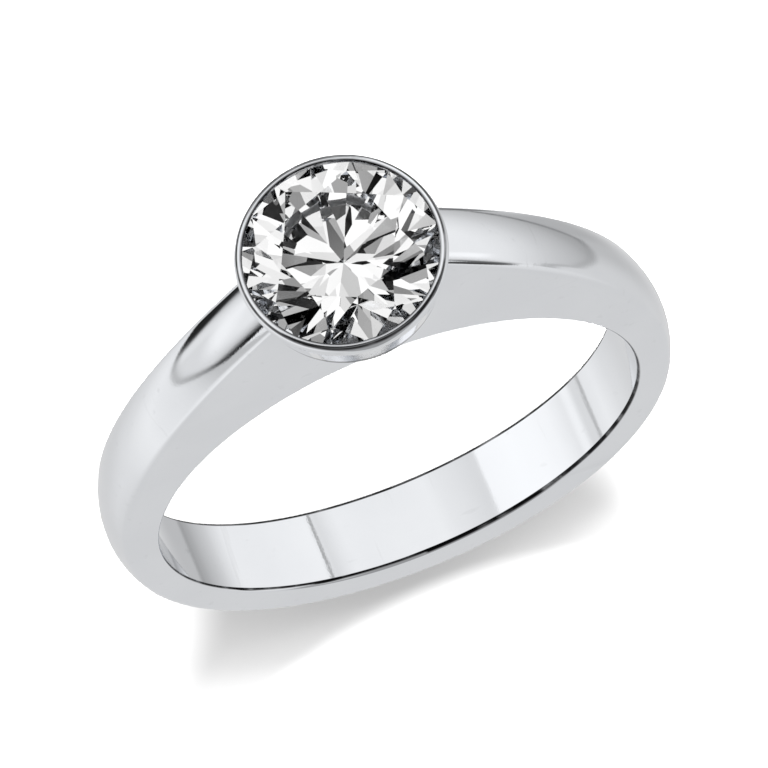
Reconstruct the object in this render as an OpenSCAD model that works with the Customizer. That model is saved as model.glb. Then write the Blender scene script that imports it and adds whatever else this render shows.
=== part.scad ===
// Solitaire ring: a round brilliant stone held by a smooth round bezel cup on a
// tapered, domed band whose shoulders rise to the cup.
// Millimetres. The ring lies on its side on z = 0, resting on the rim of the cup
// and on the back of the band. The stone faces -Y and a little upwards.

/* [Finger hole] */
// Radius of the finger hole
bore_r = 8.5; // [7.8:0.05:10]
// Small bevel along both edges of the finger hole
edge_bevel = 0.15; // [0.08:0.01:0.22]

/* [Band] */
// Width of the band at the back
back_w = 2.78; // [2.4:0.02:3.4]
// Width of the band halfway round
side_w = 2.62; // [2.3:0.02:3.2]
// Width of the band under the stone
head_w = 2.34; // [2.2:0.02:2.8]
// Metal thickness at the back
back_t = 1.9; // [1.5:0.05:2.4]
// Metal thickness halfway round
side_t = 1.5; // [1.4:0.05:2.2]
// Height of the shoulder above the finger hole where it meets the cup
shoulder_h = 5.3; // [5:0.05:5.5]
// Rounding between the flat side face and the domed outside
corner_r = 0.31; // [0.2:0.01:0.4]

/* [Bezel cup] */
// Height of the rim above the finger hole
rim_h = 6.43; // [6.3:0.01:6.8]
// Height of the tapered wall, from the widest line down to the lower edge
cup_wall_h = 1.69; // [1.4:0.01:1.8]
// How much the tapered wall draws in from the widest line to the lower edge
cup_taper = 0.39; // [0.2:0.01:0.5]
// Width of the flat lip round the stone
lip_w = 0.1; // [0.06:0.01:0.2]
// Width of the bevel outside the lip
bevel_w = 0.18; // [0.1:0.01:0.25]
// Drop of the bevel outside the lip
bevel_drop = 0.3; // [0.15:0.01:0.4]
// How far the lip reaches over the edge of the stone
lip_cover = 0.045; // [0.02:0.005:0.08]
// Height of the lip above the girdle of the stone
lip_over_girdle = 0.27; // [0.2:0.01:0.5]
// Radius of the drilled opening under the stone
drill_r = 0.75; // [0.4:0.01:0.85]

/* [Stone] */
// Diameter of the girdle
stone_d = 6.55; // [6.2:0.05:6.8]
// Table width as a share of the diameter
table_share = 0.6; // [0.5:0.01:0.64]
// Slope of the crown's main facets
crown_angle = 33.4; // [32:0.1:36]
// Slope of the pavilion's main facets
pavilion_angle = 41.2; // [39.5:0.1:42]
// Thickness of the girdle
girdle_t = 0.29; // [0.1:0.01:0.32]
// Turn of the facets about the stone's axis
facet_turn = 42; // [0:1:45]
// Gap between the stone and the metal
seat_gap = 0.04; // [0.03:0.01:0.06]

/* [Hidden] */

$fn = 96;
sections = 72;      // slices round the band
corner_steps = 4;   // points on the corner rounding
dome_steps = 10;    // points across the dome
under = 0.4;        // how far the slices reach inside the finger hole before it is cut

// Rows round the band from the stone (0 degrees) to the back (180 degrees).
// Columns: angle, metal height above the finger hole, half width, dome radius
A = 0; H = 1; W = 2; D = 3;
band = [
    [0,   shoulder_h + 1,                         head_w / 2,                        2.9],
    [8,   shoulder_h + 0.9,                       head_w / 2,                        2.9],
    [14,  shoulder_h,                             head_w / 2,                        2.89],
    [19,  side_t + (shoulder_h - side_t) * 0.828, head_w / 2 + 0.01,                 2.88],
    [24,  side_t + (shoulder_h - side_t) * 0.683, head_w / 2 + 0.02,                 2.86],
    [34,  side_t + (shoulder_h - side_t) * 0.458, head_w / 2 + 0.04,                 2.83],
    [46,  side_t + (shoulder_h - side_t) * 0.269, side_w / 2 - 0.08,                 2.78],
    [62,  side_t + (shoulder_h - side_t) * 0.11,  side_w / 2 - 0.045,                2.69],
    [76,  side_t + (shoulder_h - side_t) * 0.032, side_w / 2 - 0.02,                 2.6],
    [90,  side_t,                                 side_w / 2,                        2.5],
    [105, side_t + (back_t - side_t) * 0.075,     side_w / 2 + (back_w - side_w) / 5, 2.4],
    [125, side_t + (back_t - side_t) * 0.47,      side_w / 2 + (back_w - side_w) / 5, 2.27],
    [150, side_t + (back_t - side_t) * 0.905,     side_w / 4 + back_w / 4,           2.15],
    [180, back_t,                                 back_w / 2,                        2.1]
];
rows = len(band);

// Smooth interpolation of a column, level at both ends
function slope(c, i) = i == 0 || i == rows - 1 ? 0 :
    (band[i + 1][c] - band[i - 1][c]) / (band[i + 1][A] - band[i - 1][A]);
function row_at(a, i = 0) = i >= rows - 2 || a < band[i + 1][A] ? i : row_at(a, i + 1);
function hermite(c, i, t, s) =
    (2 * t * t * t - 3 * t * t + 1) * band[i][c] + (t * t * t - 2 * t * t + t) * s * slope(c, i)
    + (3 * t * t - 2 * t * t * t) * band[i + 1][c] + (t * t * t - t * t) * s * slope(c, i + 1);
function col(c, a) = let (i = row_at(a), s = band[i + 1][A] - band[i][A])
    hermite(c, i, (a - band[i][A]) / s, s);

// One slice as [z, r] points: bevel, flat side, rounded corner, dome, and back down.
// The dome is one arc and the corner another, tangent to it and to the side face.
function corner_centre(ro, w, rd) = ro - rd + sqrt(pow(rd - corner_r, 2) - pow(w - corner_r, 2));
function half_slice(ro, w, rd) = let (
    q = corner_r, rc = corner_centre(ro, w, rd), b = asin((w - q) / (rd - q)))
    concat(
        [[w - edge_bevel - under, bore_r - under], [w, bore_r + edge_bevel]],
        [for (k = [0 : corner_steps]) let (g = 90 - (90 - b) * k / corner_steps)
            [w - q + q * sin(g), rc + q * cos(g)]],
        [for (k = [1 : dome_steps / 2]) let (g = b * (1 - 2 * k / dome_steps))
            [rd * sin(g), ro - rd + rd * cos(g)]]);
function slice(a) = let (
    m = abs(a > 180 ? a - 360 : a),
    h = half_slice(bore_r + col(H, m), col(W, m), col(D, m)), n = len(h))
    concat(h, [for (k = [n - 2 : -1 : 0]) [-h[k][0], h[k][1]]]);

// The stone's axis points to -Y, the finger's axis along Z
function place(a, p) = [p[1] * sin(a), -p[1] * cos(a), p[0]];

// Heights measured from the finger's axis
rim_l = bore_r + rim_h;
wide_l = rim_l - bevel_drop;
base_l = wide_l - cup_wall_h;
girdle_top = rim_l - lip_over_girdle;
girdle_bottom = girdle_top - girdle_t;
gr = stone_d / 2;
tr = gr * table_share;
lip_in_r = gr - lip_cover;
rim_r = lip_in_r + lip_w + bevel_w;
cup_base_r = rim_r - cup_taper;
table_l = girdle_top + (gr - tr) * tan(crown_angle);
culet_l = girdle_bottom - gr * tan(pavilion_angle);

// The ring leans until the back of the band and the rim both touch the ground
back_centre = corner_centre(bore_r + back_t, back_w / 2, band[rows - 1][D]);
lean_a = wide_l + back_centre;
lean_b = rim_r - back_w / 2 + corner_r;
tilt = atan(lean_b / lean_a) - asin(corner_r / norm([lean_a, lean_b]));
lift = rim_r * cos(tilt) - wide_l * sin(tilt);
front_y = -(table_l * cos(tilt) + tr * sin(tilt));
rear_y = (bore_r + back_t - band[rows - 1][D]) * cos(tilt) + band[rows - 1][D];
shift_y = -(front_y + rear_y) / 2;

module at_rest() {
    translate([0, shift_y, lift]) rotate([-tilt, 0, 0]) children();
}

// Turns a profile drawn as [radius, height] about the stone's axis
module turned(profile) {
    rotate([90, 0, 0]) rotate_extrude() polygon(profile);
}

// Band with its shoulders, swept from the slices; the finger hole is cut later
module band_blank() {
    ring = [for (i = [0 : sections - 1]) let (a = 360 * i / sections)
        [for (p = slice(a)) place(a, p)]];
    n = len(ring[0]);
    points = [for (s = ring) for (p = s) p];
    faces = [for (i = [0 : sections - 1]) for (j = [0 : n - 1]) let (
        a = i * n + j, b = i * n + (j + 1) % n,
        c = ((i + 1) % sections) * n + j, d = ((i + 1) % sections) * n + (j + 1) % n)
        each [[a, d, b], [a, c, d]]];
    polyhedron(points = points, faces = faces, convexity = 6);
}

// Outside of the bezel cup: cone under it, tapered wall, bevel and flat lip
module cup_blank() {
    turned([
        [0, base_l - cup_base_r + 1],
        [1, base_l - cup_base_r + 1],
        [cup_base_r - 0.08, base_l],
        [cup_base_r, base_l + 0.08],
        [rim_r, wide_l],
        [rim_r - bevel_w / 4, wide_l + bevel_drop * 0.55],
        [lip_in_r + lip_w, rim_l],
        [0, rim_l]
    ]);
}

// Room for the stone: opening in the lip, groove for the girdle, seat, drilled hole
module stone_room() {
    seat_r = gr + seat_gap;
    turned([
        [0, rim_l + 1],
        [lip_in_r, rim_l + 1],
        [lip_in_r, girdle_top + 0.13],
        [seat_r, girdle_top + 0.05],
        [seat_r, girdle_bottom - 0.03],
        [drill_r, girdle_bottom - 0.03 - (seat_r - drill_r) * tan(pavilion_angle)],
        [drill_r, bore_r - 2],
        [0, bore_r - 2]
    ]);
}

module ring_mounting() {
    color("silver") at_rest() difference() {
        union() {
            band_blank();
            cup_blank();
        }
        cylinder(r = bore_r, h = 12, center = true, $fn = 180);
        stone_room();
    }
}

// Round brilliant: table, star facets, kites, upper halves, girdle, lower halves
// and pavilion mains, drawn with the stone's axis along +Z and height 0 at the
// finger's axis
module brilliant() {
    hc = table_l - girdle_top;
    star_r = tr + (gr - tr) * 0.6;
    star_h = (gr - star_r * cos(22.5)) * tan(crown_angle);
    low_r = gr * 0.235;
    low_h = low_r * cos(22.5) * tan(pavilion_angle);
    function ring_of(n, r, h, off) = [for (k = [0 : n - 1]) let (a = 360 * k / n + off)
        [r * cos(a), r * sin(a), h]];
    pts = concat(
        ring_of(8, tr, table_l, 0),
        ring_of(8, star_r, girdle_top + star_h, 22.5),
        ring_of(16, gr, girdle_top, 0),
        ring_of(16, gr, girdle_bottom, 0),
        ring_of(8, low_r, culet_l + low_h, 22.5),
        [[0, 0, culet_l]]);
    t = 0; s = 8; g = 16; b = 32; l = 48; c = 56;
    faces = concat(
        [[for (k = [7 : -1 : 0]) t + k]],
        [for (k = [0 : 7]) let (n = (k + 1) % 8) [t + k, t + n, s + k]],
        [for (k = [0 : 7]) let (p = (k + 7) % 8) each [[t + k, s + k, g + 2 * k], [t + k, g + 2 * k, s + p]]],
        [for (k = [0 : 7]) let (m = 2 * k + 1, n = (2 * k + 2) % 16)
            each [[s + k, g + m, g + 2 * k], [s + k, g + n, g + m]]],
        [for (k = [0 : 15]) let (n = (k + 1) % 16) each [[g + k, g + n, b + n], [g + k, b + n, b + k]]],
        [for (k = [0 : 7]) let (m = 2 * k + 1, n = (2 * k + 2) % 16)
            each [[l + k, b + 2 * k, b + m], [l + k, b + m, b + n]]],
        [for (k = [0 : 7]) let (p = (k + 7) % 8) each [[c, b + 2 * k, l + k], [c, l + p, b + 2 * k]]]);
    polyhedron(points = pts, faces = faces, convexity = 2);
}

module stone() {
    color("aliceblue") at_rest() rotate([90, 0, 0]) rotate([0, 0, facet_turn]) brilliant();
}

ring_mounting();
stone();
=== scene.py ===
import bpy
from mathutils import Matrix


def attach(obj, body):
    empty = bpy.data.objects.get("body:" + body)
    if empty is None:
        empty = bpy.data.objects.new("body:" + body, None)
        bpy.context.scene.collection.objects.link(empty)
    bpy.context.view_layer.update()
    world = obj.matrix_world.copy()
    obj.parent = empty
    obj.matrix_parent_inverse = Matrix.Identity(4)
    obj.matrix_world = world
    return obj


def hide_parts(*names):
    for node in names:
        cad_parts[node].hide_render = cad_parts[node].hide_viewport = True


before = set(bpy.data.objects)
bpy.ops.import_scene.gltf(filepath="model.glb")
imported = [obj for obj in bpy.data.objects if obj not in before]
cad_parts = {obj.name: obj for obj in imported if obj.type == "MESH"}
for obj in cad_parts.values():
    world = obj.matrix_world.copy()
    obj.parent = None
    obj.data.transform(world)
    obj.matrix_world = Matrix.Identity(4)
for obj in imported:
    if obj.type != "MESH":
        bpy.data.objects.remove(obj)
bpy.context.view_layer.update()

import math

import bmesh
import bpy
import numpy as np
from mathutils import Matrix, Vector

# ---------------------------------------------------------------------------
# The ring's sizes in millimetres, as in part.scad. The ring frame has the
# finger's axis along Z and the stone's axis along -Y.
# ---------------------------------------------------------------------------
BORE_R = 8.5
EDGE = 0.15
CORNER = 0.31
RIM_L = 14.93
WIDE_L = 14.63
BASE_L = 12.94
RIM_R = 3.51
CUP_BASE_R = 3.12
LIP_R = 3.23
LIP_W = 0.10
GIRDLE_TOP = 14.66
GIRDLE_BOTTOM = 14.37
GR = 3.275
TABLE_SHARE = 0.60
CROWN = math.radians(33.4)
PAVILION = math.radians(41.2)
FACET_TURN = 42.0
SEAT_GAP = 0.04
DRILL_R = 0.75
TILT = math.radians(4.97158)
SHIFT_Y = 2.633449
LIFT = 2.228936

TO_WORLD = (Matrix.Scale(0.001, 4) @ Matrix.Translation((0, SHIFT_Y, LIFT))
            @ Matrix.Rotation(-TILT, 4, "X"))

# angle from the stone, metal height above the finger hole, half width, dome radius
BAND = np.array([
    [13, 5.452, 1.172, 2.89],
    [19, 4.647, 1.180, 2.88],
    [24, 4.097, 1.190, 2.865],
    [34, 3.240, 1.208, 2.83],
    [46, 2.522, 1.232, 2.78],
    [62, 1.917, 1.265, 2.69],
    [76, 1.620, 1.290, 2.60],
    [90, 1.500, 1.310, 2.50],
    [105, 1.530, 1.325, 2.40],
    [125, 1.688, 1.343, 2.27],
    [150, 1.862, 1.367, 2.15],
    [180, 1.900, 1.390, 2.10],
])


def bend(col):
    """Second derivatives of the smooth cubic through a column, level at the back."""
    x, y = BAND[:, 0], BAND[:, col]
    n, h = len(x), np.diff(BAND[:, 0])
    m, v = np.zeros((n, n)), np.zeros(n)
    m[0, :3] = h[1], -(h[0] + h[1]), h[0]
    for i in range(1, n - 1):
        m[i, i - 1:i + 2] = h[i - 1], 2 * (h[i - 1] + h[i]), h[i]
        v[i] = 6 * ((y[i + 1] - y[i]) / h[i] - (y[i] - y[i - 1]) / h[i - 1])
    m[-1, -2:] = h[-1], 2 * h[-1]
    v[-1] = 6 * (0 - (y[-1] - y[-2]) / h[-1])
    return np.linalg.solve(m, v)


BENDS = [None] + [bend(c) for c in (1, 2, 3)]


def column(c, a):
    """A column of BAND at the angles a. In front of the first row, inside the cup,
    the height goes straight on up to 6.3 and the rest stays."""
    a = np.asarray(a, float)
    x, y, k = BAND[:, 0], BAND[:, c], BENDS[c]
    q = np.maximum(a, x[0])
    i = np.clip(np.searchsorted(x, q, side="right") - 1, 0, len(x) - 2)
    h = x[i + 1] - x[i]
    u, t = (x[i + 1] - q) / h, (q - x[i]) / h
    v = u * y[i] + t * y[i + 1] + ((u**3 - u) * k[i] + (t**3 - t) * k[i + 1]) * h * h / 6
    if c == 1:
        h0 = x[1] - x[0]
        s = (y[1] - y[0]) / h0 - h0 * (2 * k[0] + k[1]) / 6
        v = np.where(a < x[0], np.minimum(y[0] + s * (a - x[0]), 6.3), v)
    return v


def band_values(a):
    """Outer radius, half width, dome radius, corner centre radius, tangent angle."""
    ro, w, rd = BORE_R + column(1, a), column(2, a), column(3, a)
    rc = ro - rd + np.sqrt((rd - CORNER) ** 2 - (w - CORNER) ** 2)
    b = np.arcsin((w - CORNER) / (rd - CORNER))
    return ro, w, rd, rc, b


def new_mesh(name, points, faces, groups=None):
    me = bpy.data.meshes.new(name)
    me.from_pydata([tuple(map(float, p)) for p in points], [], faces)
    if groups is not None:
        me.polygons.foreach_set("material_index", np.asarray(groups, np.int32))
    me.update()
    return me


# ---------------------------------------------------------------------------
# Band: one closed sweep round the finger hole
# ---------------------------------------------------------------------------
def band_mesh(sections=432):
    def half(a):
        ro, w, rd, rc, b = band_values(a)
        zr = [(0.0, BORE_R), ((w - EDGE) * 0.5, BORE_R)]
        for g in np.linspace(0, 90, 15):
            g = math.radians(g)
            zr.append((w - EDGE + EDGE * math.sin(g), BORE_R + EDGE - EDGE * math.cos(g)))
        for t in np.linspace(0, 1, 8)[1:-1]:
            zr.append((w, BORE_R + EDGE + t * (rc - BORE_R - EDGE)))
        for g in np.linspace(math.pi / 2, b, 10):
            zr.append((w - CORNER + CORNER * math.sin(g), rc + CORNER * math.cos(g)))
        for g in np.linspace(b, 0, 16)[1:]:
            zr.append((rd * math.sin(g), ro - rd + rd * math.cos(g)))
        return zr
    points, n = [], 0
    for i in range(sections):
        a = 360.0 * i / sections
        h = half(min(a, 360.0 - a))
        row = h + [(-z, r) for z, r in h[-2:0:-1]]
        n = len(row)
        s, c = math.sin(math.radians(a)), math.cos(math.radians(a))
        points += [(r * s, -r * c, z) for z, r in row]
    faces = []
    for i in range(sections):
        for j in range(n):
            k, i2 = (j + 1) % n, (i + 1) % sections
            faces.append((i * n + j, i * n + k, i2 * n + k, i2 * n + j))
    return new_mesh("band_raw", points, faces, [0] * len(faces))


def band_distance(p):
    """Signed distance, in the plane of the slice, from the band's surface."""
    x, y, z = p[:, 0], p[:, 1], np.abs(p[:, 2])
    r = np.hypot(x, y)
    a = np.degrees(np.abs(np.arctan2(x, -y)))
    ro, w, rd, rc, b = band_values(a)
    dome = np.hypot(z, r - (ro - rd)) - rd
    corner = np.hypot(z - (w - CORNER), r - rc) - CORNER
    low = np.hypot(z - (w - EDGE), r - (BORE_R + EDGE)) - EDGE
    on_dome = np.arctan2(z, r - (ro - rd)) < b
    return np.select(
        [(r > rc) & on_dome, r > rc, (r < BORE_R + EDGE) & (z > w - EDGE), r < BORE_R + EDGE],
        [dome, corner, low, BORE_R - r], z - w)


def band_normals(p):
    h = 2e-4
    g = np.stack([band_distance(p + h * e) - band_distance(p - h * e) for e in np.eye(3)], 1)
    return g / np.linalg.norm(g, axis=1)[:, None]


# ---------------------------------------------------------------------------
# Turned shapes about the stone's axis: a profile is a list of pieces, each a
# list of (radius, height) points that run smoothly; between pieces is an edge.
# ---------------------------------------------------------------------------
def arc(cr, cl, rr, rl, g0, g1, n):
    return [(cr + rr * math.cos(math.radians(g)), cl + rl * math.sin(math.radians(g)))
            for g in np.linspace(g0, g1, n)]


def line(p, q, n=2):
    return [(p[0] + (q[0] - p[0]) * t, p[1] + (q[1] - p[1]) * t) for t in np.linspace(0, 1, n)]


def segments(pieces):
    """Every straight step of the profile with the outward normals at its two ends."""
    out = []
    for piece in pieces:
        p = np.array(piece, float)
        d = np.diff(p, axis=0)
        d /= np.linalg.norm(d, axis=1)[:, None]
        nrm = np.stack([d[:, 1], -d[:, 0]], 1)
        ends = np.vstack([nrm[:1], (nrm[1:] + nrm[:-1]) / 2, nrm[-1:]])
        ends /= np.linalg.norm(ends, axis=1)[:, None]
        for k in range(len(d)):
            out.append((p[k], p[k + 1], ends[k], ends[k + 1]))
    return out


def turned_mesh(name, pieces, group, around=288):
    """Closed body of revolution. The profile runs with its outside on the right
    and starts and ends on the axis."""
    prof = [pieces[0][0]]
    for piece in pieces:
        prof += [q for q in piece[1:]]
    prof = prof[1:-1]
    n = len(prof)
    top, end = pieces[0][0], pieces[-1][-1]
    points = []
    for i in range(around):
        s, c = math.sin(2 * math.pi * i / around), math.cos(2 * math.pi * i / around)
        points += [(r * s, -l, r * c) for r, l in prof]
    a, b = len(points), len(points) + 1
    points += [(0, -top[1], 0), (0, -end[1], 0)]
    faces = []
    for i in range(around):
        i2 = (i + 1) % around
        faces.append((a, i2 * n, i * n))
        for j in range(n - 1):
            faces.append((i * n + j, i2 * n + j, i2 * n + j + 1, i * n + j + 1))
        faces.append((b, i * n + n - 1, i2 * n + n - 1))
    return new_mesh(name, points, faces, [group] * len(faces))


def turned_normals(p, centre, segs, sign):
    """Normals of points on a turned face whose centre lies on one profile step."""
    rl = np.stack([np.hypot(p[:, 0], p[:, 2]), -p[:, 1]], 1)
    cl = np.stack([np.hypot(centre[:, 0], centre[:, 2]), -centre[:, 1]], 1)
    best = np.full(len(p), 1e9)
    nr = np.zeros((len(p), 2))
    for a, b, na, nb in segs:
        d = b - a
        ll = d @ d
        t = np.clip(((cl - a) @ d) / ll, 0, 1)
        dist = np.linalg.norm(cl - (a + t[:, None] * d), axis=1)
        u = np.clip(((rl - a) @ d) / ll, 0, 1)[:, None]
        m = dist < best
        best[m] = dist[m]
        nr[m] = (na * (1 - u) + nb * u)[m]
    nr /= np.linalg.norm(nr, axis=1)[:, None]
    r = np.maximum(rl[:, 0], 1e-9)
    s, c = p[:, 0] / r, p[:, 2] / r
    return sign * np.stack([nr[:, 0] * s, -nr[:, 1], nr[:, 0] * c], 1)


FOOT = (CUP_BASE_R + (RIM_R - CUP_BASE_R) * 0.3, BASE_L + 0.08 + (WIDE_L - BASE_L - 0.08) * 0.3)
CUP = [
    line((0, RIM_L), (LIP_R + LIP_W - 0.004, RIM_L)),
    arc(LIP_R + LIP_W, WIDE_L, RIM_R - LIP_R - LIP_W, RIM_L - WIDE_L, 90, 0, 22)
    + line((RIM_R, WIDE_L), FOOT, 7)[1:]
    + line(FOOT, (CUP_BASE_R, BASE_L + 0.08), 8)[1:]
    + arc(CUP_BASE_R - 0.08, BASE_L + 0.08, 0.08, 0.08, -12, -80, 7),
    line((CUP_BASE_R - 0.08, BASE_L), (1.0, BASE_L - CUP_BASE_R + 1), 6),
    line((1.0, BASE_L - CUP_BASE_R + 1), (0, BASE_L - CUP_BASE_R + 1)),
]
SEAT_R = GR + SEAT_GAP
SEAT_L = GIRDLE_BOTTOM - 0.03
ROOM = [
    line((0, RIM_L + 1), (LIP_R + 0.03, RIM_L + 1)),
    line((LIP_R + 0.03, RIM_L + 1), (LIP_R + 0.03, RIM_L))
    + arc(LIP_R + 0.03, RIM_L - 0.03, -0.03, 0.03, 90, 0, 6)[1:]
    + line((LIP_R, RIM_L - 0.03), (LIP_R, GIRDLE_TOP + 0.13), 3)[1:],
    line((LIP_R, GIRDLE_TOP + 0.13), (SEAT_R, GIRDLE_TOP + 0.05)),
    line((SEAT_R, GIRDLE_TOP + 0.05), (SEAT_R, SEAT_L)),
    line((SEAT_R, SEAT_L), (DRILL_R, SEAT_L - (SEAT_R - DRILL_R) * math.tan(PAVILION)), 8),
    line((DRILL_R, SEAT_L - (SEAT_R - DRILL_R) * math.tan(PAVILION)), (DRILL_R, BORE_R - 1.5), 4),
    line((DRILL_R, BORE_R - 1.5), (0, BORE_R - 1.5)),
]


def combine(base, other, operation):
    mod = base.modifiers.new("cut", "BOOLEAN")
    mod.object = other
    mod.operation = operation
    mod.solver = "MANIFOLD"
    dg = bpy.context.evaluated_depsgraph_get()
    me = bpy.data.meshes.new_from_object(base.evaluated_get(dg), depsgraph=dg)
    base.modifiers.clear()
    old = base.data
    base.data = me
    bpy.data.meshes.remove(old)


def smooth(x, a, b):
    t = np.clip((x - a) / (b - a), 0, 1)
    return t * t * (3 - 2 * t)


def painted_edge_shade(p, group):
    """How dark the painted shade line along an edge is at each corner, from 0 to 1. It paints
    shade and dark reflections on the two edges of the finger hole (band, group 0), round the rim and at
    the foot of the cup (group 1), and painted shade inside the lip (group 2)."""
    x, y, z = p.T
    band, cup, room = (group == k for k in range(3))
    r, a = np.hypot(x, y), np.degrees(np.arctan2(x, -y))
    ro, w, rd, rc, b = band_values(np.abs(a))
    # painted dark reflection along the two edges of the finger hole
    ez, er = np.abs(z) - (w - EDGE), BORE_R + EDGE - r
    on = band & (np.abs(np.hypot(ez, er) - EDGE) < 0.004) & (ez > -1e-3) & (er > -1e-3)
    g = np.degrees(np.arctan2(ez, er))
    wide = 1 - smooth(a, -60, 100)
    above = smooth(g, 1, 6) * (1 - smooth(g, 28 + 18 * wide, 42 + 26 * wide))
    below = smooth(g, 2, 12)
    k = np.where(on, np.where(z > 0, above, 0.97 * below), 0.0)
    rr, l = np.hypot(x, z), -y
    # rim: painted dark lines on its outer corner and on its inner edge above the stone
    u, v = (rr - LIP_R - LIP_W) / (RIM_R - LIP_R - LIP_W), (l - WIDE_L) / (RIM_L - WIDE_L)
    on = cup & (np.abs(np.hypot(u, v) - 1) < 0.03) & (u > -0.01) & (v > -0.01)
    f = np.degrees(np.arctan2(u, v))
    k = np.maximum(k, np.where(on, 0.95 * smooth(f, 14, 20) * (1 - smooth(f, 30, 50)), 0))
    k = np.maximum(k, np.where(cup & (l > RIM_L - 0.002) & (rr < LIP_R + 0.032), 0.95, 0))
    # painted shade at the foot of the cup's outer wall
    t = (l - BASE_L - 0.08) / (WIDE_L - BASE_L - 0.08)
    wall = cup & (np.abs(rr - CUP_BASE_R - (RIM_R - CUP_BASE_R) * t) < 0.004) & (t > -0.001)
    k = np.maximum(k, np.where(wall, 0.97 * (1 - smooth(t, 0.13, 0.21)), 0))
    foot = np.hypot(rr - CUP_BASE_R + 0.08, l - BASE_L - 0.08)
    on = cup & (np.abs(foot - 0.08) < 0.006) & (l < BASE_L + 0.081) & (rr > CUP_BASE_R - 0.081)
    f = np.degrees(np.arctan2(BASE_L + 0.08 - l, rr - CUP_BASE_R + 0.08))
    k = np.maximum(k, np.where(on, 0.93 * (1 - smooth(f, 60, 85)), 0))
    # painted shade on the lip's inner wall
    lip = room & (l > GIRDLE_TOP + 0.1)
    return np.where(lip, 0.62 + 0.36 * smooth(l, RIM_L - 0.06, RIM_L - 0.03), k)


def make_mounting():
    groups = [bpy.data.materials.new("group_%d" % k) for k in range(3)]
    obs = []
    for me in (band_mesh(), turned_mesh("cup_raw", CUP, 1), turned_mesh("room_raw", ROOM, 2)):
        for g in groups:
            me.materials.append(g)
        ob = bpy.data.objects.new(me.name, me)
        bpy.context.scene.collection.objects.link(ob)
        obs.append(ob)
    band, cup, room = obs
    combine(band, cup, "UNION")
    combine(band, room, "DIFFERENCE")
    for ob in (cup, room):
        me = ob.data
        bpy.data.objects.remove(ob)
        bpy.data.meshes.remove(me)
    me = band.data
    bm = bmesh.new()
    bm.from_mesh(me)
    bmesh.ops.remove_doubles(bm, verts=bm.verts, dist=2e-5)
    print("mounting: open edges", sum(1 for e in bm.edges if len(e.link_faces) != 2))
    bm.to_mesh(me)
    bm.free()
    me.update()
    nl, npoly = len(me.loops), len(me.polygons)
    co = np.zeros(len(me.vertices) * 3)
    me.vertices.foreach_get("co", co)
    co = co.reshape(-1, 3)
    vi = np.zeros(nl, np.int32)
    me.loops.foreach_get("vertex_index", vi)
    start, total, grp = (np.zeros(npoly, np.int32) for _ in range(3))
    me.polygons.foreach_get("loop_start", start)
    me.polygons.foreach_get("loop_total", total)
    me.polygons.foreach_get("material_index", grp)
    centre = np.zeros(npoly * 3)
    me.polygons.foreach_get("center", centre)
    face_n = np.zeros(npoly * 3)
    me.polygons.foreach_get("normal", face_n)
    poly = np.repeat(np.arange(npoly), total)
    order = np.concatenate([np.arange(s, s + t) for s, t in zip(start, total)])
    assert (order == np.arange(nl)).all()
    p, c, g = co[vi], centre.reshape(-1, 3)[poly], grp[poly]
    fn = face_n.reshape(-1, 3)[poly]
    nrm = np.zeros((nl, 3))
    m = g == 0
    nrm[m] = band_normals(p[m])
    m = g == 1
    nrm[m] = turned_normals(p[m], c[m], segments(CUP), -1.0)
    m = g == 2
    nrm[m] = turned_normals(p[m], c[m], segments(ROOM), 1.0)
    flip = (nrm * fn).sum(1) < 0
    print("mounting: polygons", npoly, "groups", np.bincount(grp), "normals against their face",
          [int(flip[g == k].sum()) for k in range(3)])
    nrm[flip] = fn[flip]
    # Painted shade and dark reflections along the edges and inside the lip, kept per corner for the metal's base
    # colour.
    lines = me.attributes.new("painted_edge_shade", "FLOAT", "CORNER")
    lines.data.foreach_set("value", painted_edge_shade(p, g).astype(np.float32))
    me.transform(TO_WORLD)
    rot = np.array(TO_WORLD.to_3x3().normalized())
    nrm = nrm @ rot.T
    me.polygons.foreach_set("use_smooth", np.ones(npoly, bool))
    inside = (grp == 2) & (-centre.reshape(-1, 3)[:, 1] < GIRDLE_TOP + 0.1)
    me.polygons.foreach_set("material_index", inside.astype(np.int32))
    me.materials.clear()
    me.normals_split_custom_set([tuple(v) for v in nrm])
    me.update()
    for gm in groups:
        bpy.data.materials.remove(gm)
    band.name = me.name = "polished_mounting"
    return band


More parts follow.
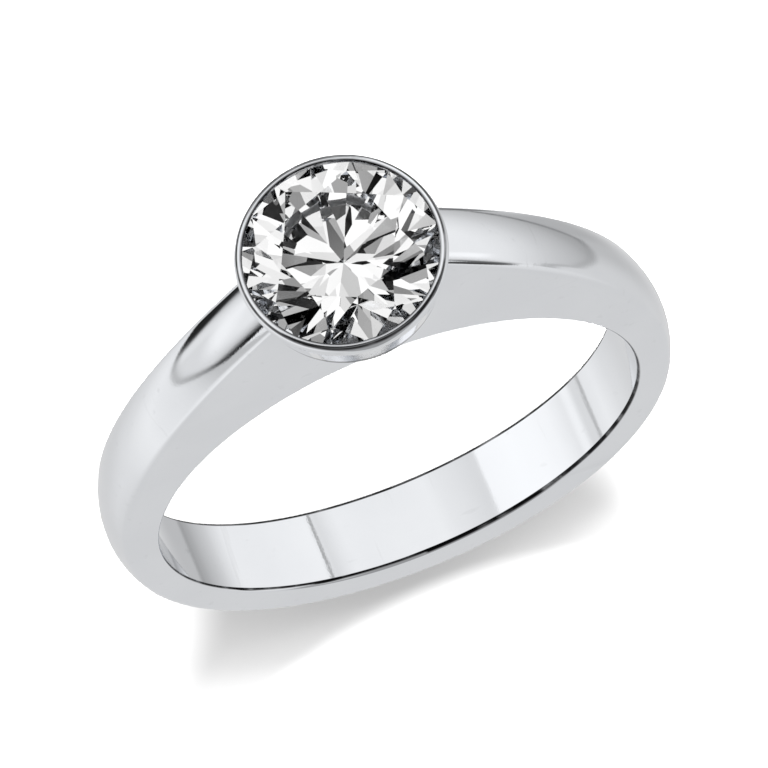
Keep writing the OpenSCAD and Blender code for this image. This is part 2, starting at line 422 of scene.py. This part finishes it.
# ---------------------------------------------------------------------------
# Stone: a round brilliant, cut facet by facet from a round blank
# ---------------------------------------------------------------------------
def make_stone():
    tr = GR * TABLE_SHARE
    table_h = (GR - tr) * math.tan(CROWN)
    star_r = tr + (GR - tr) * 0.60
    star_h = (GR - star_r * math.cos(math.radians(22.5))) * math.tan(CROWN)
    low_r = GR * 0.235
    low_h = -GR * math.tan(PAVILION) + low_r * math.cos(math.radians(22.5)) * math.tan(PAVILION)
    base = GIRDLE_BOTTOM - GIRDLE_TOP

    def at(r, deg, h):
        return Vector((r * math.cos(math.radians(deg)), r * math.sin(math.radians(deg)), h))

    bm = bmesh.new()
    n = 192
    up = [bm.verts.new(at(GR, 360 * k / n, table_h + 0.5)) for k in range(n)]
    dn = [bm.verts.new(at(GR, 360 * k / n, base - GR)) for k in range(n)]
    bm.faces.new(up)
    bm.faces.new(dn[::-1])
    for k in range(n):
        bm.faces.new((up[k], dn[k], dn[(k + 1) % n], up[(k + 1) % n]))
    planes = [(Vector((0, 0, table_h)), Vector((0, 0, 1)))]

    def plane(a, b, c):
        nn = (b - a).cross(c - a).normalized()
        if nn.dot(a - Vector((0, 0, (table_h + base) / 2))) < 0:
            nn = -nn
        planes.append((a, nn))

    for k in range(8):
        m = 45.0 * k
        t0, t1 = at(tr, m, table_h), at(tr, m + 45, table_h)
        s0, s1 = at(star_r, m + 22.5, star_h), at(star_r, m - 22.5, star_h)
        g0, gh, g1 = at(GR, m, 0), at(GR, m + 22.5, 0), at(GR, m + 45, 0)
        plane(t0, t1, s0)
        plane(t0, s0, g0)
        plane(s0, gh, g0)
        plane(s0, g1, gh)
        l0, l1 = at(low_r, m + 22.5, base + low_h), at(low_r, m - 22.5, base + low_h)
        b0, bh, b1 = at(GR, m, base), at(GR, m + 22.5, base), at(GR, m + 45, base)
        plane(b0, l0, l1)
        plane(b0, l0, bh)
        plane(b1, l0, bh)
    for co, no in planes:
        geom = bm.verts[:] + bm.edges[:] + bm.faces[:]
        out = bmesh.ops.bisect_plane(bm, geom=geom, dist=1e-5, plane_co=co, plane_no=no, clear_outer=True)
        edges = [e for e in out["geom_cut"] if isinstance(e, bmesh.types.BMEdge)]
        if edges:
            bmesh.ops.contextual_create(bm, geom=edges)
    bmesh.ops.remove_doubles(bm, verts=bm.verts, dist=1e-5)
    bmesh.ops.recalc_face_normals(bm, faces=bm.faces)
    open_edges = sum(1 for e in bm.edges if len(e.link_faces) != 2)
    print("stone: faces", len(bm.faces), "open edges", open_edges, "volume mm3", round(bm.calc_volume(), 3))
    me = bpy.data.meshes.new("cut_stone")
    bm.to_mesh(me)
    bm.free()
    me.transform(TO_WORLD @ Matrix.Rotation(math.pi / 2, 4, "X") @ Matrix.Translation((0, 0, GIRDLE_TOP))
                 @ Matrix.Rotation(math.radians(FACET_TURN), 4, "Z"))
    for f in me.polygons:
        f.use_smooth = False
    ob = bpy.data.objects.new("cut_stone", me)
    bpy.context.scene.collection.objects.link(ob)
    return ob


# ---------------------------------------------------------------------------
# Materials
# ---------------------------------------------------------------------------
def metal_material():
    """Mirror-polished white gold: faint haze in patches, a fine grain left by the polish,
    hairline scratches, and painted dark lines along the edges that stand for shade and dark reflections."""
    m = bpy.data.materials.new("polished_white_gold")
    m.use_nodes = True
    nt = m.node_tree
    b = nt.nodes["Principled BSDF"]
    b.inputs["Metallic"].default_value = 1.0
    where = nt.nodes.new("ShaderNodeTexCoord").outputs["Object"]

    def put(socket, val):
        if isinstance(val, (int, float, tuple)):
            socket.default_value = val
        else:
            nt.links.new(val, socket)

    def noise(scale, detail, stretch=(1, 1, 1), turn=(0, 0, 0)):
        m = nt.nodes.new("ShaderNodeMapping")
        m.inputs["Scale"].default_value = stretch
        m.inputs["Rotation"].default_value = turn
        n = nt.nodes.new("ShaderNodeTexNoise")
        n.inputs["Scale"].default_value = scale
        n.inputs["Detail"].default_value = detail
        nt.links.new(where, m.inputs["Vector"])
        nt.links.new(m.outputs[0], n.inputs["Vector"])
        return n.outputs["Fac"]

    def spread(val, a, b, lo, hi):
        n = nt.nodes.new("ShaderNodeMapRange")
        n.interpolation_type = "SMOOTHSTEP"
        nt.links.new(val, n.inputs["Value"])
        for key, v in (("From Min", a), ("From Max", b), ("To Min", lo), ("To Max", hi)):
            n.inputs[key].default_value = v
        return n.outputs["Result"]

    def calc(op, p, q):
        n = nt.nodes.new("ShaderNodeMath")
        n.operation = op
        put(n.inputs[0], p)
        put(n.inputs[1], q)
        return n.outputs[0]

    def blend(fac, p, q):
        n = nt.nodes.new("ShaderNodeMix")
        n.data_type = "RGBA"
        put(n.inputs[0], fac)
        put(n.inputs[6], p)
        put(n.inputs[7], q)
        return n.outputs[2]

    haze = spread(noise(700.0, 3.0), 0.35, 0.7, 0.03, 0.075)
    grain = noise(16000.0, 2.0)
    hair_1 = spread(noise(2600.0, 2.0, (1.0, 1.0, 0.04), (0.35, 0.2, 0.0)), 0.66, 0.74, 0.0, 1.0)
    hair_2 = spread(noise(2600.0, 2.0, (0.04, 1.0, 1.0), (0.0, 0.3, 0.6)), 0.67, 0.75, 0.0, 1.0)
    hairs = calc("MAXIMUM", hair_1, hair_2)
    put(b.inputs["Roughness"], calc("ADD", haze, calc("MULTIPLY", hairs, 0.07)))
    tone = spread(noise(260.0, 4.0), 0.3, 0.7, 0.0, 1.0)
    metal = blend(tone, METAL_LIGHT, METAL_DEEP)
    metal = blend(calc("MULTIPLY", hairs, 0.10), metal, (0.60, 0.605, 0.62, 1))
    # Painted shade: the dark lines along the edges and in the lip darken the base colour toward near black.
    line = nt.nodes.new("ShaderNodeAttribute")
    line.attribute_name = "painted_edge_shade"
    broken_edge_shade = calc("MULTIPLY", line.outputs["Fac"], spread(noise(1300.0, 4.0), 0.3, 0.55, 0.72, 1.0))
    put(b.inputs["Base Color"], blend(broken_edge_shade, metal, (0.012, 0.012, 0.013, 1)))
    bump = nt.nodes.new("ShaderNodeBump")
    bump.inputs["Strength"].default_value = 0.05
    bump.inputs["Distance"].default_value = 0.000012
    put(bump.inputs["Height"], calc("SUBTRACT", grain, calc("MULTIPLY", hairs, 0.8)))
    nt.links.new(bump.outputs["Normal"], b.inputs["Normal"])
    return m


def satin_painted_shade_material():
    """The unpolished inside of the cup under the stone, as it leaves the cutter; its colour is painted near black
    as the shade under the stone.
    """
    m = bpy.data.materials.new("satin_white_gold_painted_shade")
    m.use_nodes = True
    nt = m.node_tree
    b = nt.nodes["Principled BSDF"]
    b.inputs["Metallic"].default_value = 1.0
    where = nt.nodes.new("ShaderNodeTexCoord")
    noise = nt.nodes.new("ShaderNodeTexNoise")
    noise.inputs["Scale"].default_value = 9000.0
    noise.inputs["Detail"].default_value = 3.0
    nt.links.new(where.outputs["Object"], noise.inputs["Vector"])
    # The near-black base colour is painted shade for the inside of the cup under the stone; the roughness is its
    # satin finish.
    for socket, lo, hi in (("Roughness", 0.5, 0.7), ("Base Color", 0.03, 0.06)):
        ramp = nt.nodes.new("ShaderNodeMapRange")
        for key, v in (("From Min", 0.3), ("From Max", 0.7), ("To Min", lo), ("To Max", hi)):
            ramp.inputs[key].default_value = v
        nt.links.new(noise.outputs["Fac"], ramp.inputs["Value"])
        nt.links.new(ramp.outputs["Result"], b.inputs[socket])
    return m


def stone_material(name, polish, haze):
    """Clear stone. "polish" is its roughness and "haze" how much that varies."""
    m = bpy.data.materials.new(name)
    m.use_nodes = True
    nt = m.node_tree
    b = nt.nodes["Principled BSDF"]
    b.inputs["Base Color"].default_value = (1, 1, 1, 1)
    b.inputs["IOR"].default_value = 2.417
    b.inputs["Transmission Weight"].default_value = 1.0
    b.inputs["Specular Tint"].default_value = (STONE_SHINE, STONE_SHINE, STONE_SHINE, 1)
    where = nt.nodes.new("ShaderNodeTexCoord")
    noise = nt.nodes.new("ShaderNodeTexNoise")
    noise.inputs["Scale"].default_value = 1500.0
    noise.inputs["Detail"].default_value = 5.0
    ramp = nt.nodes.new("ShaderNodeMapRange")
    ramp.inputs["From Min"].default_value = 0.35
    ramp.inputs["From Max"].default_value = 0.75
    ramp.inputs["To Min"].default_value = polish
    ramp.inputs["To Max"].default_value = polish + haze
    nt.links.new(where.outputs["Object"], noise.inputs["Vector"])
    nt.links.new(noise.outputs["Fac"], ramp.inputs["Value"])
    nt.links.new(ramp.outputs["Result"], b.inputs["Roughness"])
    return m


STONE_SHINE = 0.07
METAL_LIGHT = (0.876, 0.892, 0.918, 1)
METAL_DEEP = (0.842, 0.858, 0.886, 1)
mounting = make_mounting()
stone = make_stone()
mounting.data.materials.append(metal_material())
mounting.data.materials.append(satin_painted_shade_material())
stone.data.materials.append(stone_material("clear_stone", 0.0, 0.012))
stone.data.materials.append(stone_material("bruted_girdle", 0.42, 0.2))
stone_way = (TO_WORLD.to_3x3() @ Vector((0, -1, 0))).normalized()
for facet in stone.data.polygons:
    facet.material_index = int(abs(facet.normal.dot(stone_way)) < 0.2)
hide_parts("ring_mounting")
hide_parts("stone")
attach(mounting, "root")
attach(stone, "root")

# ---------------------------------------------------------------------------
# Floor, light, camera
# ---------------------------------------------------------------------------
def plain(name, colour, rough):
    m = bpy.data.materials.new(name)
    m.use_nodes = True
    b = m.node_tree.nodes["Principled BSDF"]
    b.inputs["Base Color"].default_value = colour
    b.inputs["Roughness"].default_value = rough
    b.inputs["Specular IOR Level"].default_value = 0.0
    return m


def grid(name, size, n=8):
    pts = [((i / n - 0.5) * size, (j / n - 0.5) * size, 0.0) for j in range(n + 1) for i in range(n + 1)]
    fcs = [(j * (n + 1) + i, j * (n + 1) + i + 1, (j + 1) * (n + 1) + i + 1, (j + 1) * (n + 1) + i)
           for j in range(n) for i in range(n)]
    ob = bpy.data.objects.new(name, new_mesh(name, pts, fcs))
    bpy.context.scene.collection.objects.link(ob)
    return ob


floor = grid("floor", 3.0)
floor.location = (0, 0, -0.00002)
floor.data.materials.append(plain("floor_white", (0.9, 0.9, 0.9, 1), 1.0))
floor.visible_glossy = False
floor.visible_transmission = False

scene = bpy.context.scene

KEY_POWER, LOW_POWER = 22.0, 32.0
ROOM_POWER = 27.0
POOL_POWER = 10.0

# The studio that the polished metal reflects, drawn on the sky: soft panels with
# dark gaps between them. Each layer lies between the lines "lo" and "hi", which
# are drawn over the azimuth ("az") or the elevation ("el"), in degrees. Azimuth 0
# is on the stone's side, 90 at +X. "s" softens the two lines and the two ends "r".
# Values run from 0, black, to 255, white, as the eye sees them.
RL=[(-48,112),(-44,110.5),(-40,108.5),(-32,104.6),(-27,102),(-20.3,98.9),(-9.6,92.7),(-2.5,88.6),(-0.5,86.5),(3,84)]
LL=[(-44,-113),(-39.2,-118),(-34.7,-121.5),(-30.5,-125),(-23.5,-122),(-17,-118.5),(-10,-113.5),(-6.7,-111.3),(-3,-104.8),(-0.5,-103.9),(1,-101)]
def sh(c,d): return [(a,b+d) for a,b in c]
P=[
 # soft glow behind right and left
 dict(on='el',lo=[(-60,80),(60,80)],hi=[(-60,128),(-26,134),(-14,140),(0,128),(60,128)],s=(6,16,10,14),r=(-50,52),v=[(80,180),(85,186),(90,192),(93,209),(95,219),(98,226),(104,231),(110,235),(116,229),(123,222),(142,221)]),
 dict(on='el',lo=[(-60,-118),(60,-118)],hi=[(-60,-80),(60,-80)],s=(14,6,10,14),r=(-2,46),v=220),
 # grey beyond the left edge
 dict(on='el',lo=[(-45,-150),(-10,-146)],hi=LL,s=(14,2,3,8),r=(-43,-18),v=((-40,176),(-34,174),(-30,184),(-24,187),(-14,196))),
 # bright left side
 dict(on='el',lo=LL+[(30,-103),(60,-112)],hi=[(-60,-58),(0,-52),(60,-80)],s=(0.8,6,4,12),r=(-46,48),v=[(-126,158),(-121,165),(-118,170),(-114,182),(-111,189),(-107,198),(-104,206),(-101,216),(-97,226),(-93,235),(-60,239)]),
 dict(on='el',lo=[(-2,-101),(60,-112)],hi=[(0,-52),(60,-80)],s=(1.5,6,2,12),r=(-1,48),v=228),
 # bright right side
 dict(on='el',lo=[(-60,40),(0,48),(30,62),(60,75)],hi=RL+[(30,84),(60,90)],s=(6,0.8,6,12),r=(-44,48),v=230),
 dict(on='el',lo=[(-60,84),(-40,70),(0,68)],hi=RL,s=(5,0.6,1.5,0.6),r=(-46,-0.6),v=((-47,60),(-44,90),(-41,165),(-38.5,208),(-36,224),(-32,237),(-27,244),(-20,243),(-16,237),(-13,228),(-10,216),(-8,204),(-6.6,190),(-5.3,158),(-3.9,112),(-2.5,60),(-1.2,30))),
 dict(on='el',lo=[(-47,97),(-30,93),(-20,91.5),(-12,90)],hi=RL,s=(2.5,0.6,4,2),r=(-33,-9),v=215,k=0.9),
 # front below
 dict(on='az',lo=[(-70,-60),(-20,-50),(0,-30),(20,-40),(70,-60)],hi=[(-70,10),(-50,8),(-20,-4),(-4,-14),(2,-14),(20,-4),(50,8),(70,10)],s=(8,3,5,5),r=(-70,70),v=((-70,239),(-48,241),(-43,219),(-38,231),(-34,238),(-12,237),(8,238),(14,231),(23,226),(31,220),(33.5,222),(34.7,251),(50,255),(62,253),(70,250))),
 dict(on='el',lo=[(-30,-46.4),(-10,-46.4)],hi=[(-30,-45),(-10,-45)],s=(0.5,0.6,2,2),r=(-28,-10),v=110,k=0.55),
 dict(on='el',lo=[(-30,60),(-10,60)],hi=[(-30,86),(-10,86)],s=(4,2,2,3),r=(-27,-12),v=[(60,254),(74,249),(81,238),(85,231)],k=0.9),
 # top grey
 dict(on='az',lo=[(-180,40),(-160,50),(-140,54),(-110,56),(-60,46),(0,27),(60,46),(100,60),(130,62),(160,52),(180,40)],hi=[(-180,95),(180,95)],s=(4,1,1,1),r=(-181,181),v=150),
 dict(on='az',lo=[(-140,60),(-60,60)],hi=[(-140,70),(-60,70)],s=(3,4,20,15),r=(-120,-60),v=200,k=0.8),
 dict(on='az',lo=[(40,48),(70,50)],hi=[(40,62),(70,64)],s=(4,4,6,6),r=(45,68),v=225,k=0.9),
 # camera V
 dict(on='az',lo=[(-82,60),(-66,40),(-50,12),(-20,0),(-4,-12),(0,-12),(20,0),(48,12),(62,35),(78,58)],hi=[(-82,62),(-60,50),(-30,30),(0,28),(35,30),(60,40),(78,58)],s=(3,6,4,4),r=(-82,78),v=52),
 dict(on='el',lo=[(-12,-4),(50,-22)],hi=[(-12,-1),(50,8)],s=(4,4,4,4),r=(-8,60),v=105,k=0.8),
 # floor side grey
 dict(on='az',lo=[(-30,-68),(30,-68)],hi=[(-30,-50),(-8,-28),(8,-30),(30,-50)],s=(6,5,6,6),r=(-24,26),v=110,k=0.9),
 dict(on='el',lo=[(-64,-95),(-24,-82)],hi=[(-64,-68),(-24,-62)],s=(5,6,5,3),r=(-60,-30),v=105,k=0.85),
 # left of the picture: dark line along the bright panel's edge, dark corner and foot
 dict(on='el',lo=sh(RL,-1.3),hi=sh(RL,0.6),s=(1.1,0.7,2,1),r=(-46,-2.2),v=((-46,20),(-43,25),(-40,70),(-36,150),(-30,178),(-20,175),(-12,150),(-9.6,138),(-6,105),(-3,60),(-1,45)),k=0.95),
 dict(on='az',lo=[(83,-2.6),(89,-2.8)],hi=[(83,0.2),(89,-0.6)],s=(1.2,0.5,0.8,0.9),r=(83.9,88.4),v=((84,4),(85,8),(87,45),(88.2,70))),
 dict(on='el',lo=[(-47,96),(-44,98.5),(-41,100.5),(-38,103),(-35,105.5)],hi=sh(RL,0.5),s=(4,0.8,1.5,2.5),r=(-47.5,-37),v=((-47,35),(-44,18),(-41,45),(-38.5,120),(-36,170))),
 dict(on='az',lo=[(84,-46),(94,-48),(104,-49),(112,-45)],hi=[(84,-42),(94,-42.5),(104,-43),(112,-42)],s=(2.5,2.5,5,1.5),r=(88,110),v=40,k=0.95),
 # right of the picture: line at the edge, dark corner, dark foot
 dict(on='el',lo=sh(LL,-1.6),hi=sh(LL,1.4),s=(1.6,1.2,2,1),r=(-43,0),v=((-43,110),(-39,125),(-34,130),(-30,142),(-25,158),(-15,168),(-7,178),(-2,172)),k=0.9),
 dict(on='az',lo=[(-140,-52),(-100,-50)],hi=[(-140,-46),(-120,-43.5),(-100,-43)],s=(2,1.0,8,4),r=(-136,-104),v=90,k=0.9),
 # white strip below the line and the dark line up
 dict(on='el',lo=[(-6,-93.5),(-1,-93)],hi=[(-6,-86),(-1,-86)],s=(1.5,1.5,0.8,0.9),r=(-5.4,-1.8),v=251,k=0.95),
 dict(on='el',lo=[(0,-100),(5,-98),(15,-101),(31,-106)],hi=[(0,-86),(8,-89),(15,-94),(31,-94)],s=(1.5,2,1.5,3),r=(0.5,33),v=((0,190),(3,170),(6,130),(10,100),(20,70),(27,48),(31,60),(36,140)),k=0.95),
]


# What the rays that come out of the stone see: a bright tent with dark gaps in it.
# Each gap is a round patch: azimuth, elevation, radius, in degrees, and its light.
# A later one lies over an earlier one.
STONE_TENT = (0.84, 1.08)
GAPS = [
    (-56.5, 41.5, 17.9, 0.0), (35.1, 22.8, 8.6, 0.0), (0.7, 23.9, 7.7, 0.0), (55.8, 17.5, 10.1, 0.0),
    (56.6, 55.0, 11.5, 0.0), (-9.2, 35.2, 6.4, 0.0), (-15.3, -57.6, 20.3, 0.0), (-5.1, 8.6, 3.4, 0.0),
    (-27.5, 32.3, 3.6, 0.0), (91.7, 42.3, 15.3, 0.0), (-35.4, -2.7, 6.3, 0.0), (58.5, 32.9, 4.7, 0.4),
    (-9.3, -27.5, 4.8, 0.0), (39.4, -6.5, 9.2, 0.0), (51.9, 17.4, 3.7, 1.0), (25.0, 11.7, 6.2, 0.0),
    (-73.9, 15.0, 16.6, 0.0), (49.9, -58.7, 13.2, 0.0), (-57.7, 57.8, 13.4, 0.4), (60.8, -1.0, 6.4, 0.0),
    (-2.1, 26.4, 2.2, 1.0), (0.1, -12.5, 6.5, 0.4), (3.3, 14.6, 2.8, 0.3), (-27.0, 45.1, 3.3, 0.3),
    (-15.7, 9.2, 5.0, 0.0), (15.4, 17.1, 9.3, 0.4), (-5.9, -16.0, 3.3, 0.3), (-55.1, -7.9, 4.8, 0.0),
    (-1.4, 42.9, 3.2, 0.4), (50.4, 5.2, 3.0, 0.0), (-90.3, -68.9, 16.9, 0.0), (5.0, 55.7, 2.5, 0.0),
    (-45.5, 58.1, 7.2, 0.0), (-10.9, 21.8, 7.5, 0.0), (51.0, 35.4, 3.8, 0.0), (-39.5, -31.7, 6.0, 0.0),
    (33.6, 39.9, 6.1, 0.3), (15.1, 36.5, 8.0, 0.0), (-14.6, -4.1, 13.0, 0.75), (0.8, -5.1, 4.5, 0.0),
    (-30.6, 6.1, 8.0, 0.4), (85.3, 46.4, 8.0, 1.0), (-45.7, 35.3, 3.5, 1.0), (-13.3, -15.0, 3.3, 0.0),
    (3.3, -62.3, 8.0, 1.0), (28.7, -34.4, 3.0, 0.0), (-26.3, 47.7, 3.0, 0.0), (25.5, 54.9, 5.0, 0.0),
    (-34.6, 9.9, 2.6, 0.0), (-51.5, 40.3, 3.0, 0.75), (-10.6, 36.9, 3.4, 0.75), (-18.8, 36.9, 5.5, 0.0),
    (55.5, 35.1, 3.0, 0.0), (36.8, 5.9, 3.7, 0.0), (52.9, -35.2, 3.4, 0.0), (-20.1, -30.9, 3.0, 0.0),
    (34.1, 26.9, 3.0, 1.0), (-18.8, 21.0, 3.4, 0.0), (-15.4, 21.9, 2.6, 0.75),
]


def studio(world, base, layers, gain):
    world.use_nodes = True
    nt = world.node_tree
    nt.nodes.clear()

    def node(kind, *links, **props):
        n = nt.nodes.new(kind)
        for key, val in props.items():
            setattr(n, key, val)
        for k, val in enumerate(links):
            if val is None:
                continue
            if isinstance(val, (int, float)):
                n.inputs[k].default_value = val
            else:
                nt.links.new(val, n.inputs[k])
        return n.outputs[0]

    def calc(op, *v):
        return node("ShaderNodeMath", *v, operation=op)

    def ramp(x, a, b, lo, hi, kind="SMOOTHSTEP"):
        n = nt.nodes.new("ShaderNodeMapRange")
        n.interpolation_type = kind
        nt.links.new(x, n.inputs["Value"])
        for key, val in (("From Min", a), ("From Max", b), ("To Min", lo), ("To Max", hi)):
            n.inputs[key].default_value = val
        return n.outputs["Result"]

    def curve(x, pts):
        xs, ys = [q[0] for q in pts], [q[1] for q in pts]
        y0, y1 = min(ys), max(ys)
        if y1 - y0 < 1e-6:
            return float(y0)
        n = nt.nodes.new("ShaderNodeFloatCurve")
        c = n.mapping.curves[0]
        flat = [((q[0] - xs[0]) / (xs[-1] - xs[0]), (q[1] - y0) / (y1 - y0)) for q in pts]
        c.points[0].location, c.points[1].location = flat[0], flat[-1]
        for q in flat[1:-1]:
            c.points.new(*q)
        for q in c.points:
            q.handle_type = "VECTOR"
        n.mapping.update()
        nt.links.new(ramp(x, xs[0], xs[-1], 0.0, 1.0, "LINEAR"), n.inputs["Value"])
        return calc("MULTIPLY_ADD", n.outputs["Value"], y1 - y0, y0)

    way = nt.nodes.new("ShaderNodeTexCoord").outputs["Generated"]
    xyz = nt.nodes.new("ShaderNodeSeparateXYZ")
    nt.links.new(way, xyz.inputs[0])
    az = calc("MULTIPLY", calc("ARCTAN2", xyz.outputs[0], calc("MULTIPLY", xyz.outputs[1], -1.0)), 57.29578)
    el = calc("MULTIPLY", calc("ARCSINE", xyz.outputs[2]), 57.29578)
    value = float(base)
    for lay in layers:
        x, y = (az, el) if lay["on"] == "az" else (el, az)
        s, r = lay["s"], lay["r"]
        m = ramp(calc("SUBTRACT", y, curve(x, lay["lo"])), -s[0], s[0], 0.0, 1.0)
        m = calc("MULTIPLY", m, ramp(calc("SUBTRACT", y, curve(x, lay["hi"])), -s[1], s[1], 1.0, 0.0))
        m = calc("MULTIPLY", m, ramp(x, r[0] - s[2], r[0] + s[2], 0.0, 1.0))
        m = calc("MULTIPLY", m, ramp(x, r[1] - s[3], r[1] + s[3], 1.0, 0.0))
        if lay.get("k", 1) != 1:
            m = calc("MULTIPLY", m, float(lay["k"]))
        v = lay["v"]
        v = curve(y, v) if isinstance(v, list) else curve(x, list(v)) if isinstance(v, tuple) else float(v)
        value = calc("ADD", value, calc("MULTIPLY", m, calc("SUBTRACT", v, value)))
    light = calc("POWER", calc("MULTIPLY_ADD", value, 1 / 255 / 1.055, 0.055 / 1.055), 2.4)
    back = nt.nodes.new("ShaderNodeBackground")
    nt.links.new(light, back.inputs["Color"])
    back.inputs["Strength"].default_value = gain
    cloth = nt.nodes.new("ShaderNodeTexNoise")
    cloth.inputs["Scale"].default_value = 3.0
    cloth.inputs["Detail"].default_value = 2.0
    nt.links.new(way, cloth.inputs["Vector"])
    value = ramp(cloth.outputs["Fac"], 0.36, 0.62, STONE_TENT[0], STONE_TENT[1])
    for az0, el0, r, lit in GAPS:
        a, e = math.radians(az0), math.radians(el0)
        near = nt.nodes.new("ShaderNodeVectorMath")
        near.operation = "DOT_PRODUCT"
        nt.links.new(way, near.inputs[0])
        near.inputs[1].default_value = (math.sin(a) * math.cos(e), -math.cos(a) * math.cos(e), math.sin(e))
        m = ramp(near.outputs["Value"], math.cos(math.radians(r + 0.8)), math.cos(math.radians(max(r - 0.8, 0))), 0.0, 1.0)
        value = calc("ADD", value, calc("MULTIPLY", m, calc("SUBTRACT", float(lit), value)))
    tent = nt.nodes.new("ShaderNodeBackground")
    nt.links.new(value, tent.inputs["Color"])
    through = nt.nodes.new("ShaderNodeLightPath").outputs["Is Transmission Ray"]
    both = nt.nodes.new("ShaderNodeMixShader")
    nt.links.new(through, both.inputs[0])
    nt.links.new(back.outputs[0], both.inputs[1])
    nt.links.new(tent.outputs[0], both.inputs[2])
    out = nt.nodes.new("ShaderNodeOutputWorld")
    nt.links.new(both.outputs[0], out.inputs["Surface"])


world = bpy.data.worlds.new("studio")
scene.world = world
studio(world, 207.0, P, 1.13)
world.cycles_visibility.diffuse = False

scene.view_settings.view_transform = "Standard"
scene.cycles.max_bounces = 24
scene.cycles.glossy_bounces = 16
scene.cycles.transmission_bounces = 16
scene.cycles.caustics_reflective = False
scene.cycles.caustics_refractive = False


def area(name, at, to, size, power):
    lamp = bpy.data.lights.new(name, "AREA")
    lamp.shape = "DISK"
    lamp.size = size
    lamp.energy = power
    ob = bpy.data.objects.new(name, lamp)
    scene.collection.objects.link(ob)
    ob.location = at
    ob.rotation_mode = "QUATERNION"
    ob.rotation_quaternion = (Vector(to) - Vector(at)).to_track_quat("-Z", "Y")
    ob.visible_glossy = False
    ob.visible_transmission = False
    return ob


def from_front(name, azimuth, height, wide, tall, power):
    """A soft oblong light far off, at an azimuth and a height in degrees; wide and
    tall are its own size in degrees."""
    a, e = math.radians(azimuth), math.radians(height)
    way = Vector((math.sin(a) * math.cos(e), -math.cos(a) * math.cos(e), math.sin(e)))
    ob = area(name, way * 1.2, (0, 0, 0), 1.0, power)
    ob.data.shape = "RECTANGLE"
    ob.data.size = 2.4 * math.tan(math.radians(wide / 2))
    ob.data.size_y = 2.4 * math.tan(math.radians(tall / 2))


# A wide strip and a lower, smaller light on the stone's side throw the soft shadow
# behind the band's back. The room light and the pools of light over the front and
# beside the band cast none.
from_front("key", -3.0, 20.0, 60.0, 9.0, KEY_POWER)
from_front("low", -6.0, 14.0, 10.0, 8.0, LOW_POWER)
room = area("room", (0.0, 0.0, 2.0), (0, 0, 0), 2.0, ROOM_POWER)
room.data.use_shadow = False
for name, x, y, radius, power in (("pool_front", 0.0, -0.003, 0.0165, POOL_POWER),
                                  ("pool_left", 0.0215, 0.0120, 0.0155, POOL_POWER * 1.3),
                                  ("pool_right", -0.0205, 0.0120, 0.0155, POOL_POWER * 1.3),
                                  ("pool_back", -0.0005, 0.0285, 0.0100, POOL_POWER)):
    pool = bpy.data.lights.new(name, "SPOT")
    pool.energy = power
    pool.spot_size = 2 * math.atan(radius / 0.5)
    pool.spot_blend = 0.5
    pool.shadow_soft_size = 0.0
    pool.use_shadow = False
    pool_ob = bpy.data.objects.new(name, pool)
    scene.collection.objects.link(pool_ob)
    pool_ob.location = (x, y, 0.5)
    pool_ob.visible_glossy = False
    pool_ob.visible_transmission = False

CAM_R = ((-0.9283576424765392, 0.09834697340768678, 0.3584410139436484),
         (0.3681221351226465, 0.37654637231215193, 0.8501170055535313),
         (-0.0513632289497748, 0.9211626904733531, -0.3857734003164901))
CAM_T = (0.0568670953, 1.32160059, 600.0)
R = Matrix(CAM_R)
place = -(R.transposed() @ Vector(CAM_T))
cam_m = Matrix.Identity(4)
for k, axis in enumerate((R[0], -R[1], -R[2])):
    for j in range(3):
        cam_m[j][k] = axis[j]
for j in range(3):
    cam_m[j][3] = place[j]
turn = Matrix.Rotation(-TILT, 4, "X")
cam_world = turn @ cam_m
cam_world.translation = TO_WORLD @ place
camera = bpy.data.cameras.new("camera")
camera.sensor_width = 36.0
camera.sensor_fit = "HORIZONTAL"
camera.lens = 18050.9383 * 36.0 / 768.0
camera.clip_start = 0.01
camera.clip_end = 20.0
cam = bpy.data.objects.new("camera", camera)
scene.collection.objects.link(cam)
cam.matrix_world = cam_world
scene.camera = cam
